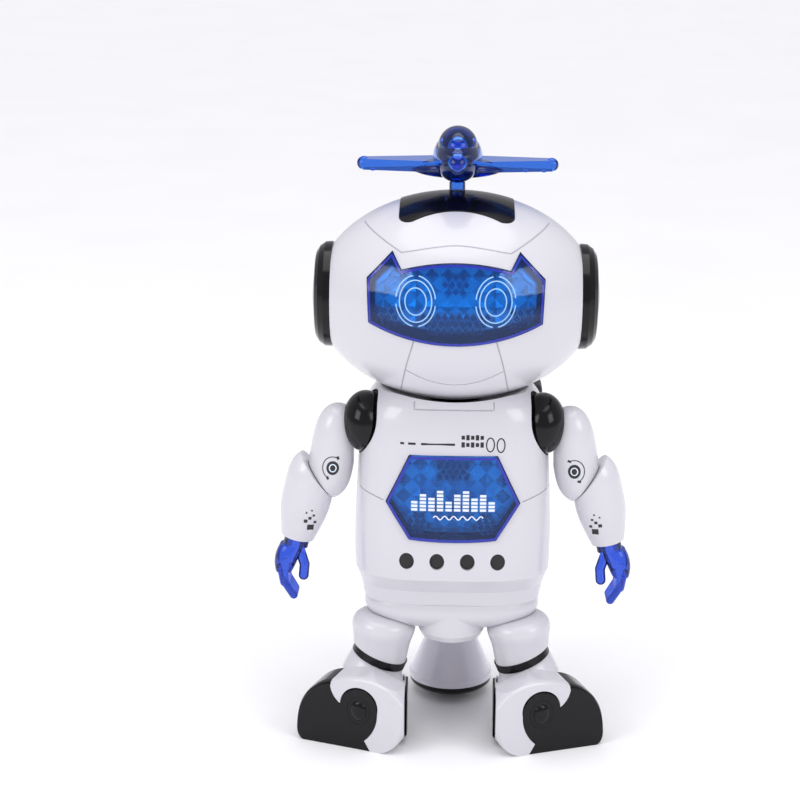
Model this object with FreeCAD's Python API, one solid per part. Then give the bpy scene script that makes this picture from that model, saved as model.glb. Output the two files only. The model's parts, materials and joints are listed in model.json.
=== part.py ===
import FreeCAD, Part
import math
import os

os.makedirs("parts", exist_ok=True)

# ---------------------------------------------------------------------------
# Toy robot.  Millimetres, +Z up, the robot faces -Y and its left hand is at +X.
# The origin is the middle of the footprint, on the floor.
# ---------------------------------------------------------------------------

WALL = 2.2                # moulded shell thickness
SEAM = 0.15               # gap left round an insert in its opening
RUN = 0.05                # radial clearance of a running fit
SPACE = 0.4               # gap kept between two curved faces that move past each other

# Head: a flattened ball with a flat ear face on each side
HEAD_Z = 166.5            # centre height
HEAD_RX = 51.5            # half width before the ear faces are cut
HEAD_RY = 42.0            # half depth
HEAD_RZ = 38.0            # half height
EAR_X = 45.0              # ear face
EAR_OUT_X = 52.0          # outermost point of an ear
EAR_R = 19.3              # ear base radius
VISOR_PROUD = 0.8         # how far the visor stands out of the head

# Neck
NECK_R = 9.0
NECK_SEAT_R = 10.5
NECK_SEAT_Z = 127.2
HEAD_GAP = 0.6            # dish clearance under the head

# Toy plane on the head
PLANE_Z = 218.0           # middle of the fuselage
PLANE_SPLIT_Z = 212.6
WING_SPAN = 36.0          # half span to the ball at the tip
WING_THICK = 3.9
PLANE_WALL = 1.3

# Torso
SHOULDER_Y = -10.0
SHOULDER_Z = 121.0
SHOULDER_R = 11.4
SHOULDER_X = 32.5         # middle of the round shoulder

# Arms (robot's left; the right one is its mirror image)
ARM_TOP = (41.5, SHOULDER_Y + 1.0, 127.0)
ARM_END = (46.4, SHOULDER_Y + 1.0, 98.5)
ARM_R = 8.3
FOREARM_TOP = (50.2, SHOULDER_Y + 1.0, 109.4)
FOREARM_END = (58.0, SHOULDER_Y + 1.0, 75.6)
FOREARM_R = 9.2
ELBOW = (49.6, SHOULDER_Y + 1.0, 99.0)       # a point on the elbow's slanted split
ELBOW_NORMAL_DEG = 35.0                      # split normal below the horizontal
WRIST_R = 2.6

# Arm drive
GEAR_MODULE = 0.7
SMALL_TEETH = 14
BIG_TEETH = 28
PINION_TEETH = 10
CLUSTER_Z = SHOULDER_Z - GEAR_MODULE * SMALL_TEETH
MOTOR_Z = CLUSTER_Z - GEAR_MODULE * (BIG_TEETH + PINION_TEETH) / 2.0
MOTOR_R = 7.0

# Battery pack on the back
CELL_R = 7.1
CELL_LENGTH = 50.0
CELL_PITCH = 14.6
PACK_Y = 32.0             # middle of the cells
PACK_REAR_Y = 41.0
DOOR_Y = 39.6
BACK_Y = 42.8             # rearmost point

# Legs
LEG_Y = -11.0
KNEE = (26.9, LEG_Y, 29.4)
KNEE_TILT_DEG = 22.5
KNEE_R = 10.2
RING_THICK = 3.0
FOOT_ORIGIN = (26.5, -36.0)
FOOT_TURN_DEG = 20.0
FOOT_DEPTH = 27.0
ANKLE_S = 8.0             # ankle disc centre, along the foot
ANKLE_Z = 15.6
ANKLE_RX = 7.6
ANKLE_RZ = 9.3
BUTTON_RX = 4.6           # oval pivot cap in the middle of the ankle
BUTTON_RZ = 5.6
SHIN_INSIDE_X = 16.9      # flat inner side of the legs
TOE_MIDDLE = 17.0         # the toe is rounded off towards this line along the foot

# Drive cone behind the legs
CONE_Y = 25.0
CONE_BASE_R = 16.4
CONE_BASE_Z = 6.4
RING_BASE_Z = 3.5
CONE_TOP_R = 7.6
CONE_TOP_Z = 29.0
WHEEL_R = 8.5
WHEEL_WIDTH = 8.0


# ---------------------------------------------------------------------------
# Small helpers
# ---------------------------------------------------------------------------

def vec(x, y, z):
    return FreeCAD.Vector(x, y, z)


def box(x0, x1, y0, y1, z0, z1):
    return Part.makeBox(x1 - x0, y1 - y0, z1 - z0, vec(x0, y0, z0))


def rod(start, end, radius):
    """Round bar between two points."""
    a = vec(*start)
    b = vec(*end)
    return Part.makeCylinder(radius, (b - a).Length, a, b - a)


def tube(start, end, outer, inner):
    return rod(start, end, outer).cut(rod(start, end, inner))


def fuse(shapes):
    result = shapes[0]
    if len(shapes) > 1:
        result = result.multiFuse(shapes[1:])
    return result.removeSplitter()


def ellipsoid(cx, cy, cz, rx, ry, rz):
    ball = Part.makeSphere(1.0)
    matrix = FreeCAD.Matrix()
    matrix.scale(rx, ry, rz)
    shape = ball.transformGeometry(matrix)
    shape.translate(vec(cx, cy, cz))
    return shape


def rounded_ring(cx, y_front, y_back, z, half_width, power, count=28):
    """Closed smooth loop at one height: a rounded rectangle, flatter as power grows."""
    cy = (y_front + y_back) / 2.0
    half_depth = (y_back - y_front) / 2.0
    points = []
    for i in range(count):
        angle = math.pi / 2.0 + 2.0 * math.pi * i / count
        c = math.cos(angle)
        s = math.sin(angle)
        x = cx + half_width * math.copysign(abs(c) ** (2.0 / power), c)
        y = cy + half_depth * math.copysign(abs(s) ** (2.0 / power), s)
        points.append(vec(x, y, z))
    curve = Part.BSplineCurve()
    curve.interpolate(points, PeriodicFlag=True)
    return Part.Wire([curve.toShape()])


def loft(wires):
    return Part.makeLoft(wires, True, False)


def outline_xz(pieces):
    """Closed outline in the XZ plane.  Each piece is a list of (x, z):
    two points make a line, three make an arc, more make a smooth curve."""
    edges = []
    for piece in pieces:
        points = [vec(x, 0.0, z) for x, z in piece]
        if len(points) == 2:
            edges.append(Part.makeLine(points[0], points[1]))
        elif len(points) == 3:
            edges.append(Part.Arc(points[0], points[1], points[2]).toShape())
        else:
            curve = Part.BSplineCurve()
            curve.interpolate(points)
            edges.append(curve.toShape())
    return Part.Wire(edges)


def prism_xz(pieces, y0, y1, grow=0.0):
    """Solid with an XZ outline, from y0 to y1.  grow moves the outline outward."""
    wire = outline_xz(pieces)
    if grow:
        wire = wire.makeOffset2D(grow)
    wire.translate(vec(0.0, y0, 0.0))
    return Part.Face(wire).extrude(vec(0.0, y1 - y0, 0.0))


def turned(start, end, profile):
    """Solid of revolution about the line start-end.  profile lists
    (distance along the line, radius) and is joined by a smooth curve."""
    points = [vec(radius, 0.0, along) for along, radius in profile]
    curve = Part.BSplineCurve()
    curve.interpolate(points)
    edges = [curve.toShape()]
    first = vec(0.0, 0.0, points[0].z)
    last = vec(0.0, 0.0, points[-1].z)
    if points[-1].x > 1e-6:
        edges.append(Part.makeLine(points[-1], last))
    edges.append(Part.makeLine(last, first))
    if points[0].x > 1e-6:
        edges.append(Part.makeLine(first, points[0]))
    solid = Part.Face(Part.Wire(edges)).revolve(vec(0, 0, 0), vec(0, 0, 1), 360.0)
    axis = vec(*end) - vec(*start)
    turn = FreeCAD.Rotation(vec(0, 0, 1), axis)
    solid.Placement = FreeCAD.Placement(vec(*start), turn)
    return solid


def lathe(start, end, profile):
    """Solid of revolution about the line start-end from straight profile segments."""
    points = [vec(radius, 0.0, along) for along, radius in profile]
    wire = Part.makePolygon(points + [points[0]])
    solid = Part.Face(wire).revolve(vec(0, 0, 0), vec(0, 0, 1), 360.0)
    axis = vec(*end) - vec(*start)
    turn = FreeCAD.Rotation(vec(0, 0, 1), axis)
    solid.Placement = FreeCAD.Placement(vec(*start), turn)
    return solid


def mirrored(shape):
    """The same piece for the robot's right side."""
    return shape.mirror(vec(0, 0, 0), vec(1, 0, 0))


def polar(radius, angle):
    return (radius * math.cos(angle), radius * math.sin(angle))


def spur_gear(teeth, module, x0, x1, y, z, phase_deg):
    """Straight-toothed gear on an axis along X.  phase_deg turns one tooth's
    middle to that angle, measured from +Y towards +Z."""
    pitch_r = teeth * module / 2.0
    tip_r = pitch_r + 0.8 * module
    root_r = pitch_r - 1.15 * module
    step = 2.0 * math.pi / teeth
    points = []
    for i in range(teeth):
        middle = math.radians(phase_deg) + i * step
        for radius, offset in ((root_r, -0.27), (tip_r, -0.10), (tip_r, 0.10), (root_r, 0.27)):
            dy, dz = polar(radius, middle + offset * step)
            points.append(vec(x0, y + dy, z + dz))
    wire = Part.makePolygon(points + [points[0]])
    return Part.Face(wire).extrude(vec(x1 - x0, 0, 0))


NODES = {}


def save(name, shape):
    NODES[name] = shape
    shape.exportStep("parts/" + name + ".step")
    size = shape.optimalBoundingBox(False)
    print("%-22s %2d solid  valid=%s  x %6.1f %6.1f  y %6.1f %6.1f  z %6.1f %6.1f" % (
        name, len(shape.Solids), shape.isValid(), size.XMin, size.XMax,
        size.YMin, size.YMax, size.ZMin, size.ZMax))


# ---------------------------------------------------------------------------
# Head
# ---------------------------------------------------------------------------

def head_ball(offset):
    return ellipsoid(0, 0, HEAD_Z, HEAD_RX + offset, HEAD_RY + offset, HEAD_RZ + offset)


def head_skin(outer_offset, inner_offset):
    return head_ball(outer_offset).cut(head_ball(inner_offset))


VISOR = [
    [(-30.5, 163.6), (-31.2, 178.9)],
    [(-31.2, 178.9), (-22.2, 188.3)],
    [(-22.2, 188.3), (-18.9, 182.6)],
    [(-18.9, 182.6), (0.0, 185.4), (18.9, 182.6)],
    [(18.9, 182.6), (22.2, 188.3)],
    [(22.2, 188.3), (31.2, 178.9)],
    [(31.2, 178.9), (30.5, 163.6)],
    [(30.5, 163.6), (0.0, 156.9), (-30.5, 163.6)],
]


def top_panel_prism(grow):
    """Outline of the black panel seen from above: hollow front edge, rounded corners."""
    half = 20.5 + grow
    front = -21.5 - grow
    dip = -19.0 - grow
    back = 22.0 + grow
    corner = 5.0
    inset = corner * (1.0 - math.sqrt(0.5))
    points = [
        [vec(-half, front + corner, 0), vec(-half + inset, front + inset, 0), vec(-half + corner, front, 0)],
        [vec(-half + corner, front, 0), vec(0, dip, 0), vec(half - corner, front, 0)],
        [vec(half - corner, front, 0), vec(half - inset, front + inset, 0), vec(half, front + corner, 0)],
        [vec(half, front + corner, 0), vec(half, back - corner, 0)],
        [vec(half, back - corner, 0), vec(half - inset, back - inset, 0), vec(half - corner, back, 0)],
        [vec(half - corner, back, 0), vec(-half + corner, back, 0)],
        [vec(-half + corner, back, 0), vec(-half + inset, back - inset, 0), vec(-half, back - corner, 0)],
        [vec(-half, back - corner, 0), vec(-half, front + corner, 0)],
    ]
    edges = []
    for group in points:
        if len(group) == 3:
            edges.append(Part.Arc(*group).toShape())
        else:
            edges.append(Part.makeLine(*group))
    wire = Part.Wire(edges)
    wire.translate(vec(0, 0, HEAD_Z))
    return Part.Face(wire).extrude(vec(0, 0, 60))


HEAD_SCREWS = ((-32.0, 186.0), (32.0, 186.0), (-30.0, 149.0), (30.0, 149.0))


def build_head():
    slab = box(-EAR_X, EAR_X, -60, 60, 100, 230)
    room = box(-EAR_X + WALL, EAR_X - WALL, -60, 60, 100, 230)
    outer = head_ball(0).common(slab)
    inner = head_ball(-WALL).common(room)
    shell = outer.cut(inner)
    pegs = []
    for x, z in HEAD_SCREWS:
        pegs.append(rod((x, -60, z), (x, 60, z), 3.0).common(outer))
    shell = shell.multiFuse(pegs)
    for x, z in HEAD_SCREWS:
        shell = shell.cut(rod((x, -8, z), (x, 60, z), 1.25))
        shell = shell.cut(rod((x, 12, z), (x, 60, z), 2.4))
    shell = shell.cut(prism_xz(VISOR, -60, 0))
    shell = shell.cut(top_panel_prism(0))
    shell = shell.cut(rod((0, 0, 120), (0, 0, 140), NECK_R + SPACE))
    for side in (-1, 1):
        shell = shell.cut(rod((side * 40, 0, HEAD_Z), (side * 46, 0, HEAD_Z), 6.0))
    front = shell.common(box(-60, 60, -60, 0, 100, 230))
    rear = shell.common(box(-60, 60, 0, 60, 100, 230))
    save("head_front_shell", front)
    save("head_rear_shell", rear)

    lens = head_skin(VISOR_PROUD, -WALL - SEAM).common(prism_xz(VISOR, -60, -10, -SEAM))
    flange = head_skin(-WALL - 0.03, -WALL - 1.2).common(prism_xz(VISOR, -60, -10, 1.6))
    visor = fuse([lens, flange])
    save("visor_lens", visor)

    plate = prism_xz(VISOR, -29.4, -28.2, -2.6)
    facets = []
    for row in range(4):
        for column in range(10):
            x = -25.2 + 5.6 * column
            z = 163.2 + 5.4 * row
            base = Part.makePolygon([vec(x - 2.8, -29.4, z), vec(x, -29.4, z + 2.7),
                                     vec(x + 2.8, -29.4, z), vec(x, -29.4, z - 2.7),
                                     vec(x - 2.8, -29.4, z)])
            facets.append(Part.makeLoft([base, Part.Vertex(x, -31.0, z)], True, True))
    reflector = plate.multiFuse([f for f in facets])
    reflector = reflector.common(prism_xz(VISOR, -34, -28, -2.6)).common(head_ball(-WALL - 1.7))
    save("visor_reflector", reflector)

    board = box(-24, 24, -25.6, -24.2, 160.5, 181.5)
    board = fuse([board] + [rod((x, -28.2, 171), (x, -25.6, 171), 1.6) for x in (-20, 20)])
    save("head_led_board", board)
    leds = []
    for x in (-13.8, 13.8):
        leds.append(rod((x, -28.2, 172.5), (x, -25.6, 172.5), 2.5))
    save("head_leds", Part.makeCompound(leds))

    cap = head_skin(0.35, -WALL - SEAM).common(top_panel_prism(-SEAM))
    lip = head_skin(-WALL - 0.03, -WALL - 1.2).common(top_panel_prism(1.6))
    panel = fuse([cap, lip])
    panel = panel.cut(rod((0, 0, 190), (0, 0, 215), 3.0))
    save("top_panel", panel)

    profile = [(0, EAR_R), (2.6, EAR_R - 0.2), (4.6, EAR_R - 1.6), (5.8, EAR_R - 3.4), (6.1, EAR_R - 4.6),
               (6.1, 12.4), (5.4, 11.8), (5.4, 11.0), (6.4, 10.2), (7.0, 6.0), (7.0, 0), (-3.0, 0),
               (-3.0, 5.9), (0, 5.9)]
    ear = lathe((EAR_X, 0, HEAD_Z), (EAR_X + 1, 0, HEAD_Z), profile)
    save("ear_pod_left", ear)
    save("ear_pod_right", mirrored(ear))

    screws = []
    for x, z in HEAD_SCREWS:
        screws.append(fuse([rod((x, -6, z), (x, 12, z), 1.2), rod((x, 12, z), (x, 14, z), 2.3)]))
    save("head_screws", Part.makeCompound(screws))


def build_plane():
    post_z = HEAD_Z + HEAD_RZ + 0.3
    foot = lathe((0, 0, 0), (0, 0, 1), [
        (post_z - 5.3, 0), (post_z - 5.3, 5.0), (post_z - 4.1, 5.0), (post_z - 4.1, 2.9),
        (PLANE_SPLIT_Z - 4.7, 2.9), (PLANE_SPLIT_Z - 4.2, 2.4), (PLANE_SPLIT_Z + 1.5, 2.4),
        (PLANE_SPLIT_Z + 1.5, 3.2), (PLANE_SPLIT_Z + 3.5, 1.9), (PLANE_SPLIT_Z + 3.5, 0)])
    slot = box(-0.7, 0.7, -5, 5, PLANE_SPLIT_Z - 3.0, PLANE_SPLIT_Z + 5.0)
    save("plane_post", foot.cut(slot))

    def hull(offset):
        return ellipsoid(0, -1.0, PLANE_Z - 0.6, 8.9 + offset, 24.0 + offset, 8.8 + offset)

    def canopy(offset):
        return ellipsoid(0, -7.5, PLANE_Z + 4.2, 7.0 + offset, 11.5 + offset, 6.9 + offset)

    wing_points = [vec(0, -10, 0), vec(WING_SPAN - 2, -3.4, 0), vec(WING_SPAN - 2, 3.4, 0), vec(0, 10, 0)]
    half = Part.Face(Part.makePolygon(wing_points + [wing_points[0]])).extrude(vec(0, 0, WING_THICK))
    half.translate(vec(0, 0, PLANE_SPLIT_Z))
    tip = Part.makeSphere(2.5, vec(WING_SPAN - 2.3, 0, PLANE_SPLIT_Z + 2.0))
    wing = half.fuse(tip)
    root = ellipsoid(0, -1.0, PLANE_SPLIT_Z + 0.9, 17.0, 13.0, 3.6)
    lip = fuse([rod((-3.4, -21.5, 218.6), (3.4, -21.5, 218.6), 2.1),
                Part.makeSphere(2.1, vec(-3.4, -21.5, 218.6)), Part.makeSphere(2.1, vec(3.4, -21.5, 218.6))])
    fin = box(-0.9, 0.9, 9, 20, PLANE_Z, PLANE_Z + 5.0).common(rod((-5, 10, 210), (5, 10, 210), 13.0))
    tail = box(-8, 8, 15.5, 21.5, PLANE_Z - 3.0, PLANE_Z - 1.4)
    skin = hull(0)
    for piece in (canopy(0), root, wing, mirrored(wing), lip, fin, tail):
        skin = skin.fuse(piece)
    upper = skin.common(box(-60, 60, -60, 60, PLANE_SPLIT_Z, 260))
    upper = upper.cut(hull(-PLANE_WALL)).cut(canopy(-PLANE_WALL))
    pips = [Part.makeSphere(1.2, vec(x, 0.0, PLANE_SPLIT_Z + 0.3)) for x in (-30.5, 24.5, 31.0)]
    upper = upper.multiFuse(pips)
    lower = hull(0).fuse(root).common(box(-60, 60, -60, 60, 190, PLANE_SPLIT_Z))
    lower = lower.cut(hull(-PLANE_WALL).common(box(-60, 60, -60, 60, 190, PLANE_SPLIT_Z - 1.6)))
    lower = lower.cut(rod((0, 0, 200), (0, 0, 230), 2.4 + RUN))
    save("plane_body", upper)
    save("plane_belly", lower)


# ---------------------------------------------------------------------------
# Torso
# ---------------------------------------------------------------------------

# height, half width, front y, rear y
TORSO_SECTIONS = (
    (65.5, 36.3, -28.2, 27.0),
    (76.0, 36.6, -29.2, 28.0),
    (90.0, 36.2, -29.4, 28.5),
    (104.0, 35.5, -29.0, 28.5),
    (118.0, 34.6, -27.8, 26.5),
    (127.0, 32.6, -26.2, 24.0),
    (133.7, 27.2, -21.6, 19.2),
)
WAIST_SECTIONS = (
    (65.5, 36.3, -28.2, 27.0),
    (59.0, 34.4, -22.4, 23.0),
    (53.0, 33.2, -20.8, 20.0),
)
TORSO_POWER = 3.3


def stacked(sections, offset, ruled):
    """Loft through level rounded rectangles, all moved outward by offset."""
    wires = []
    for z, half, front, back in sections:
        wires.append(rounded_ring(0, front - offset, back + offset, z, half + offset, TORSO_POWER))
    return Part.makeLoft(wires, True, ruled)


def torso_solid(offset):
    """Chest and bevelled waist; a positive offset also raises the top."""
    top = TORSO_SECTIONS[-1]
    chest = TORSO_SECTIONS[:-1] + ((top[0] + offset,) + top[1:],)
    waist = WAIST_SECTIONS[:-1] + ((WAIST_SECTIONS[-1][0] - offset,) + WAIST_SECTIONS[-1][1:],)
    return stacked(chest, offset, False).fuse(stacked(waist, offset, True)).removeSplitter()


def head_dish(extra):
    """Room for the turning head: round about the neck axis."""
    reach = HEAD_RX + HEAD_GAP + extra
    return ellipsoid(0, 0, HEAD_Z, reach, reach, HEAD_RZ + HEAD_GAP + extra)


CHEST = [
    [(-24.5, 95.5), (-16.0, 113.5)],
    [(-16.0, 113.5), (16.0, 113.5)],
    [(16.0, 113.5), (24.5, 95.5)],
    [(24.5, 95.5), (15.9, 81.8)],
    [(15.9, 81.8), (0.0, 80.9), (-15.9, 81.8)],
    [(-15.9, 81.8), (-24.5, 95.5)],
]
PORT_X = (-16.6, -5.55, 5.55, 16.6)
PORT_Z = 73.2
PORT_RX = 2.7
PORT_RZ = 3.25
BOARD_Y = -20.1           # front face of the main board
TORSO_SCREWS = ((-28.6, 102.0), (28.6, 102.0), (-28.6, 74.0), (28.6, 74.0))


def oval_rod(x, z, y0, y1, rx, rz):
    """Oval bar along Y."""
    ellipse = Part.Ellipse(vec(0, 0, 0), max(rx, rz), min(rx, rz)).toShape()
    wire = Part.Wire([ellipse])
    wire.rotate(vec(0, 0, 0), vec(1, 0, 0), 90)
    if rz > rx:
        wire.rotate(vec(0, 0, 0), vec(0, 1, 0), 90)
    wire.translate(vec(x, y0, z))
    return Part.Face(wire).extrude(vec(0, y1 - y0, 0))


def shoulder_turning(x_in, x_out, offset):
    """Round shoulder about the arm axis, from x_in to x_out."""
    ball = ellipsoid(SHOULDER_X, SHOULDER_Y, SHOULDER_Z, 8.6 + offset, SHOULDER_R + offset, SHOULDER_R + offset)
    return ball.common(box(x_in, x_out, -60, 60, 60, 180))


def build_torso():
    outer = torso_solid(0).cut(head_dish(0))
    outer = outer.cut(rod((0, 0, NECK_SEAT_Z), (0, 0, 140), NECK_SEAT_R + 0.5))
    inner = torso_solid(-WALL).cut(head_dish(WALL))
    inner = inner.cut(rod((0, 0, NECK_SEAT_Z - WALL), (0, 0, 140), NECK_SEAT_R + 0.5 + WALL))
    shell = outer.cut(inner)
    walls = []
    for side in (-1, 1):
        socket = rod((side * 23.0, SHOULDER_Y, SHOULDER_Z), (side * 40.0, SHOULDER_Y, SHOULDER_Z),
                     SHOULDER_R + SPACE + 1.6)
        walls.append(socket.common(outer))
    for x, z in TORSO_SCREWS:
        walls.append(rod((x, -40, z), (x, 40, z), 3.0).common(outer))
    shell = shell.multiFuse(walls)
    for side in (-1, 1):
        shell = shell.cut(rod((side * 24.2, SHOULDER_Y, SHOULDER_Z), (side * 40.0, SHOULDER_Y, SHOULDER_Z),
                              SHOULDER_R + SPACE))
        shell = shell.cut(rod((side * 20.0, SHOULDER_Y, SHOULDER_Z), (side * 40.0, SHOULDER_Y, SHOULDER_Z), 3.0))
    for x, z in TORSO_SCREWS:
        shell = shell.cut(rod((x, -12, z), (x, 60, z), 1.25))
        shell = shell.cut(rod((x, 16, z), (x, 60, z), 2.4))
    shell = shell.cut(prism_xz(CHEST, -40, -10))
    shell = shell.cut(rod((0, 0, 110), (0, 0, 140), NECK_R - 2.0))
    for x in PORT_X:
        shell = shell.cut(oval_rod(x, PORT_Z, -40, -10, PORT_RX, PORT_RZ))
    shell = shell.cut(box(-23.8, 23.8, 10, 40, 63.7, 120.3))
    save("torso_front_shell", shell.common(box(-60, 60, -60, 0, 40, 160)))
    save("torso_rear_shell", shell.common(box(-60, 60, 0, 60, 40, 160)))

    face = torso_solid(0.7).cut(torso_solid(-WALL - SEAM))
    lens = face.common(prism_xz(CHEST, -40, -10, -SEAM))
    back = torso_solid(-WALL - 0.03).cut(torso_solid(-WALL - 1.2))
    flange = back.common(prism_xz(CHEST, -40, -10, 1.6))
    save("chest_lens", fuse([lens, flange]))

    pads = [oval_rod(x, PORT_Z, -27.6, -23.4, PORT_RX - 0.1, PORT_RZ - 0.1) for x in PORT_X]
    carrier = box(-19.6, 19.6, -24.6, -23.4, 69.6, 76.8)
    save("chest_ports", fuse([carrier] + pads))

    plate = prism_xz(CHEST, -22.4, -21.2, -1.6)
    facets = []
    for row in range(5):
        for column in range(7):
            x = -18.0 + 6.0 * column
            z = 84.5 + 6.0 * row
            base = Part.makePolygon([vec(x - 3, -22.4, z), vec(x, -22.4, z + 3), vec(x + 3, -22.4, z),
                                     vec(x, -22.4, z - 3), vec(x - 3, -22.4, z)])
            facets.append(Part.makeLoft([base, Part.Vertex(x, -24.0, z)], True, True))
    reflector = plate.multiFuse(facets).common(prism_xz(CHEST, -30, -20, -1.6))
    save("chest_reflector", reflector)

    board = box(-19.0, 19.0, BOARD_Y, BOARD_Y + 1.6, 84.0, 99.5)
    stands = [rod((x, -21.2, 91), (x, BOARD_Y, 91), 1.4) for x in (-7, 7)]
    save("main_board", fuse([board] + stands))
    leds = [rod((x, -21.2, 94), (x, BOARD_Y, 94), 2.5) for x in (-14, 0, 14)]
    save("chest_leds", Part.makeCompound(leds))

    cone = lathe((0, -22.8, PORT_Z), (0, -21.8, PORT_Z), [
        (0, 0), (0, 2.2), (0.6, 7.4), (0, 8.8), (1.6, 8.8), (4.6, 6.4), (4.6, 5.0), (7.4, 5.0), (7.4, 0)])
    save("speaker", cone)

    collar = fuse([rod((0, 0, NECK_SEAT_Z), (0, 0, NECK_SEAT_Z + 0.9), NECK_SEAT_R),
                   rod((0, 0, NECK_SEAT_Z), (0, 0, 135.0), NECK_R),
                   rod((0, 0, 133.1), (0, 0, 135.0), NECK_R + 3.0),
                   rod((0, 0, 123.0), (0, 0, NECK_SEAT_Z), NECK_R - 2.0)])
    collar = collar.cut(rod((0, 0, 120), (0, 0, 140), NECK_R - 3.6))
    save("neck_post", collar)

    screws = []
    for x, z in TORSO_SCREWS:
        screws.append(fuse([rod((x, -10, z), (x, 16, z), 1.2), rod((x, 16, z), (x, 18, z), 2.3)]))
    save("torso_screws", Part.makeCompound(screws))


# ---------------------------------------------------------------------------
# Arm drive: motor, gears and frame inside the chest
# ---------------------------------------------------------------------------

FRAME_X = 20.0
IDLER_Y = SHOULDER_Y + GEAR_MODULE * SMALL_TEETH * math.sin(math.radians(60))
IDLER_Z = (SHOULDER_Z + CLUSTER_Z) / 2.0


def build_arm_drive():
    step = 360.0 / SMALL_TEETH
    plates = []
    for side in (-1, 1):
        x0 = min(side * FRAME_X, side * (FRAME_X + 1.6))
        plate = box(x0, x0 + 1.6, SHOULDER_Y - 8, SHOULDER_Y + 16, MOTOR_Z - 8, SHOULDER_Z + 3.6)
        plates.append(plate)
    for y, z in ((SHOULDER_Y + 13, MOTOR_Z - 5), (SHOULDER_Y + 13, MOTOR_Z + 12)):
        plates.append(rod((-FRAME_X, y, z), (FRAME_X, y, z), 2.0))
    motor_seat = tube((16.0, SHOULDER_Y, MOTOR_Z), (FRAME_X, SHOULDER_Y, MOTOR_Z), MOTOR_R + 1.2, MOTOR_R)
    plates.append(motor_seat)
    frame = fuse(plates)
    bores = ((SHOULDER_Y, SHOULDER_Z, 2.0), (SHOULDER_Y, CLUSTER_Z, 1.5), (IDLER_Y, IDLER_Z, 1.5))
    for y, z, radius in bores:
        frame = frame.cut(rod((-30, y, z), (30, y, z), radius + RUN))
    save("gearbox_frame", frame)

    can = rod((4.0, SHOULDER_Y, MOTOR_Z), (FRAME_X, SHOULDER_Y, MOTOR_Z), MOTOR_R)
    nose = rod((3.0, SHOULDER_Y, MOTOR_Z), (4.0, SHOULDER_Y, MOTOR_Z), 2.4)
    motor = fuse([can, nose]).cut(rod((2.0, SHOULDER_Y, MOTOR_Z), (12.0, SHOULDER_Y, MOTOR_Z), 1.0 + RUN))
    save("arm_motor", motor)

    pinion = spur_gear(PINION_TEETH, GEAR_MODULE, -2.0, 2.0, SHOULDER_Y, MOTOR_Z, 90.0)
    pinion = pinion.fuse(rod((2.0, SHOULDER_Y, MOTOR_Z), (11.5, SHOULDER_Y, MOTOR_Z), 1.0))
    save("arm_motor_pinion", pinion)

    big = spur_gear(BIG_TEETH, GEAR_MODULE, -1.5, 1.5, SHOULDER_Y, CLUSTER_Z, -90.0 + 180.0 / BIG_TEETH)
    left = spur_gear(SMALL_TEETH, GEAR_MODULE, 12.0, 15.0, SHOULDER_Y, CLUSTER_Z, 90.0)
    right = spur_gear(SMALL_TEETH, GEAR_MODULE, -18.6, -15.8, SHOULDER_Y, CLUSTER_Z, 30.0)
    axle = rod((-FRAME_X - 1.6, SHOULDER_Y, CLUSTER_Z), (FRAME_X + 1.6, SHOULDER_Y, CLUSTER_Z), 1.5)
    hub = rod((-19.5, SHOULDER_Y, CLUSTER_Z), (19.5, SHOULDER_Y, CLUSTER_Z), 2.6)
    save("arm_cluster_gear", fuse([big, left, right, axle, hub]))

    idler = spur_gear(SMALL_TEETH, GEAR_MODULE, -18.8, -11.6, IDLER_Y, IDLER_Z, 210.0 + step / 2.0)
    axle = rod((-FRAME_X - 1.6, IDLER_Y, IDLER_Z), (-9.0, IDLER_Y, IDLER_Z), 1.5)
    save("arm_idler_gear", idler.fuse(axle))

    shaft = fuse([rod((10.5, SHOULDER_Y, SHOULDER_Z), (37.0, SHOULDER_Y, SHOULDER_Z), 2.0),
                  spur_gear(SMALL_TEETH, GEAR_MODULE, 12.0, 15.0, SHOULDER_Y, SHOULDER_Z, -90.0 + step / 2.0)])
    save("shoulder_shaft_left", shaft)
    phase = 330.0 + idler_mesh_phase(step)
    shaft = fuse([rod((-37.0, SHOULDER_Y, SHOULDER_Z), (-10.5, SHOULDER_Y, SHOULDER_Z), 2.0),
                  spur_gear(SMALL_TEETH, GEAR_MODULE, -14.8, -12.0, SHOULDER_Y, SHOULDER_Z, phase)])
    save("shoulder_shaft_right", shaft)


def idler_mesh_phase(step):
    """Tooth phase of the shoulder gear so that it sits in the idler's gap.
    The idler shows it the angle 150 deg; its teeth start at 210 deg plus half a step."""
    offset = (150.0 - (210.0 + step / 2.0)) / step
    fraction = offset - math.floor(offset)
    return (0.5 + fraction) * step


# ---------------------------------------------------------------------------
# Arms
# ---------------------------------------------------------------------------

def elbow_half_space(keep_outer, gap):
    """Large block on one side of the slanted elbow split."""
    angle = math.radians(ELBOW_NORMAL_DEG)
    normal = vec(math.cos(angle), 0, -math.sin(angle))
    block = Part.makeBox(200, 200, 200, vec(-100, -100, 0))
    direction = normal if keep_outer else normal * -1.0
    block.Placement = FreeCAD.Placement(vec(*ELBOW) + direction * gap, FreeCAD.Rotation(vec(0, 0, 1), direction))
    return block


def along(start, end, distance):
    a = vec(*start)
    b = vec(*end)
    point = a + (b - a).normalize() * distance
    return (point.x, point.y, point.z)


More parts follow.
